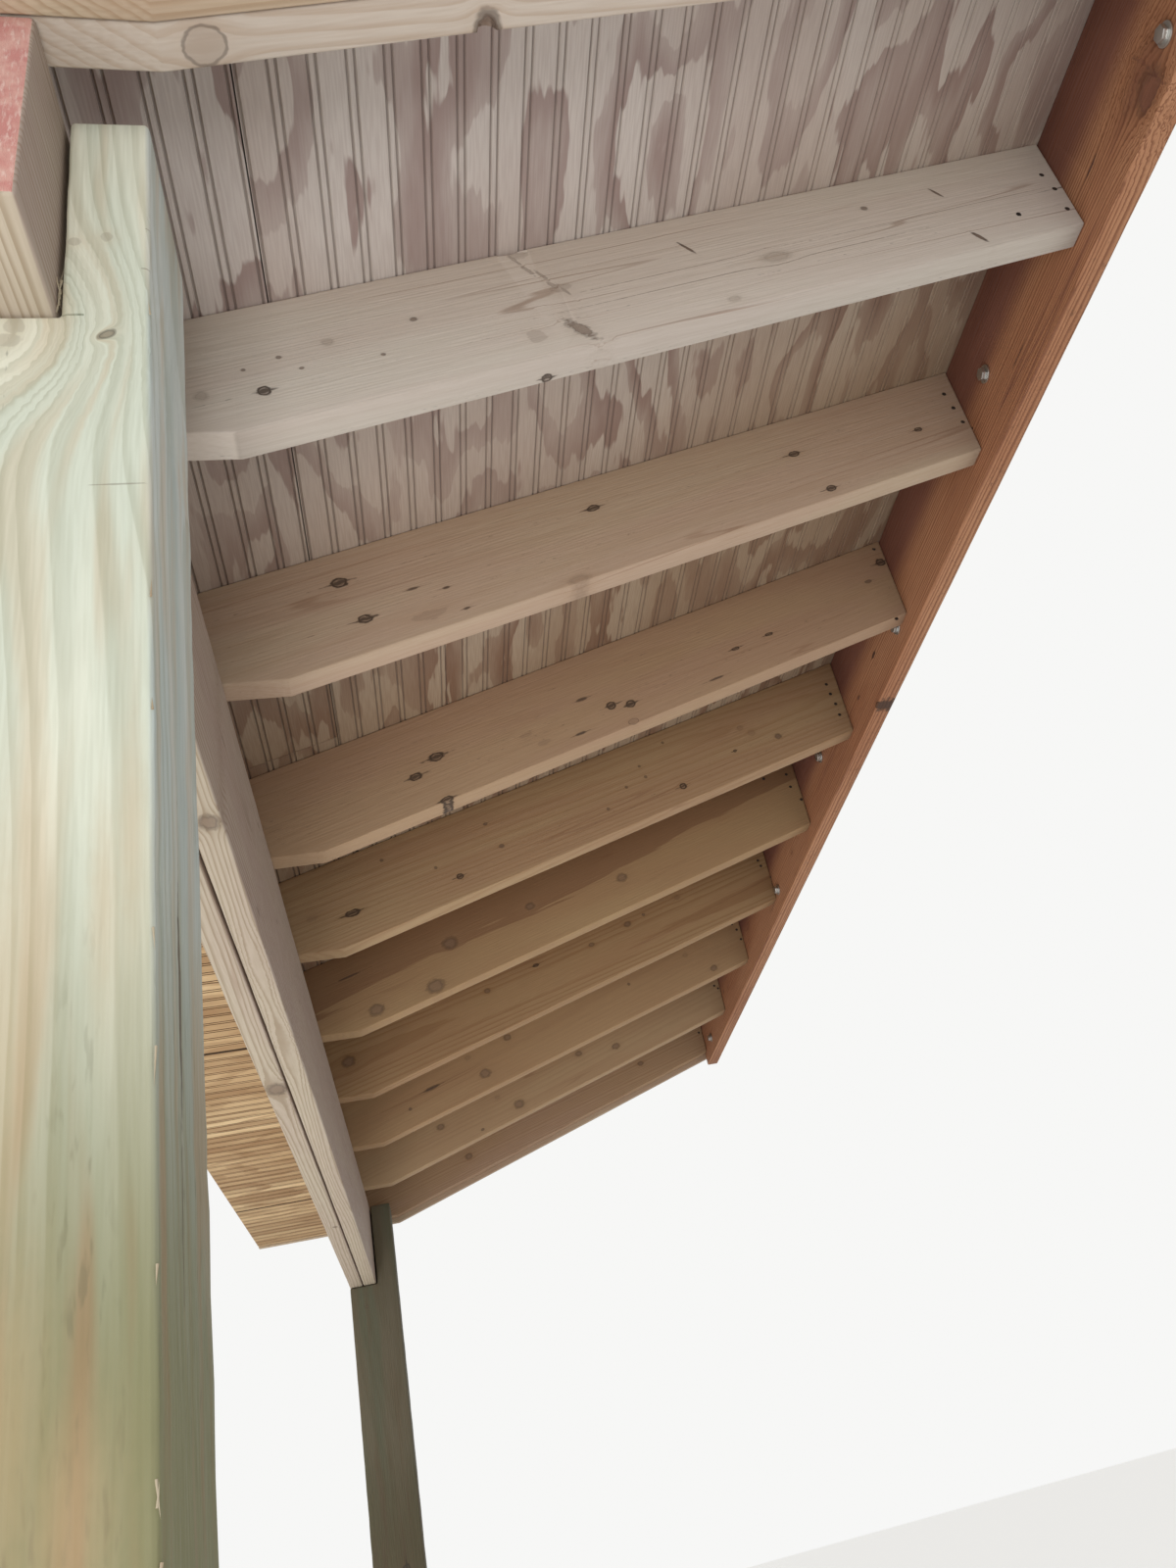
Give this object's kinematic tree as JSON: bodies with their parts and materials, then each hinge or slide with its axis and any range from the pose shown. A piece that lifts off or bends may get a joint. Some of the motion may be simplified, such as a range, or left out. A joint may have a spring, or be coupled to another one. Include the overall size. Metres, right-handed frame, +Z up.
{
  "type": "lean-to porch canopy",
  "caption": "Timber lean-to canopy over a porch: wall ledger, sloping rafters, doubled beam on notched posts, beaded ceiling and soffit, shingled top.",
  "frame": {"origin": "centre of the ledger's back face, where it meets the wall", "axes": "+X along the ledger towards the near end, +Y into the wall, +Z up"},
  "size_m": [3.7196, 1.6365, 3.1898],
  "materials": {
    "fir_ledger": "smooth planed fir, orange-red",
    "pine_rafter": "planed pine, matt",
    "pine_beam": "planed pine, matt, red end seal",
    "treated_pine_near": "treated pine, pale yellow-green",
    "treated_pine_far": "treated pine, grey-brown",
    "beaded_ceiling": "beaded plywood, bare",
    "beaded_soffit": "beaded plywood, honey coloured",
    "trim_board": "planed pine board",
    "roof_shingle": "mineral granules on felt",
    "black_felt": "asphalt-soaked felt",
    "drip_metal": "folded sheet, satin",
    "flashing_metal": "mill finish sheet",
    "zinc_bolt": "zinc plated"
  },
  "bodies": {
    "root": {"ledger": "fir_ledger", "rafter_1": "pine_rafter", "rafter_2": "pine_rafter", "rafter_3": "pine_rafter", "rafter_4": "pine_rafter", "rafter_5": "pine_rafter", "rafter_6": "pine_rafter", "rafter_7": "pine_rafter", "rafter_8": "pine_rafter", "rafter_9": "pine_rafter", "rafter_10": "pine_rafter", "beam_inner_ply": "pine_beam", "beam_outer_ply": "pine_beam", "near_post": "treated_pine_near", "far_post": "treated_pine_far", "ceiling_upper_near": "beaded_ceiling", "ceiling_upper_far": "beaded_ceiling", "ceiling_lower_near": "beaded_ceiling", "ceiling_lower_far": "beaded_ceiling", "soffit_1": "beaded_soffit", "soffit_2": "beaded_soffit", "soffit_3": "beaded_soffit", "soffit_4": "beaded_soffit", "fascia": "trim_board", "near_rake_board": "trim_board", "far_rake_board": "trim_board", "roof_felt": "black_felt", "shingles": "roof_shingle", "eave_drip_edge": "drip_metal", "near_drip_edge": "drip_metal", "far_drip_edge": "drip_metal", "wall_flashing": "flashing_metal", "ledger_bolts": "zinc_bolt"}
  },
  "joints": []
}
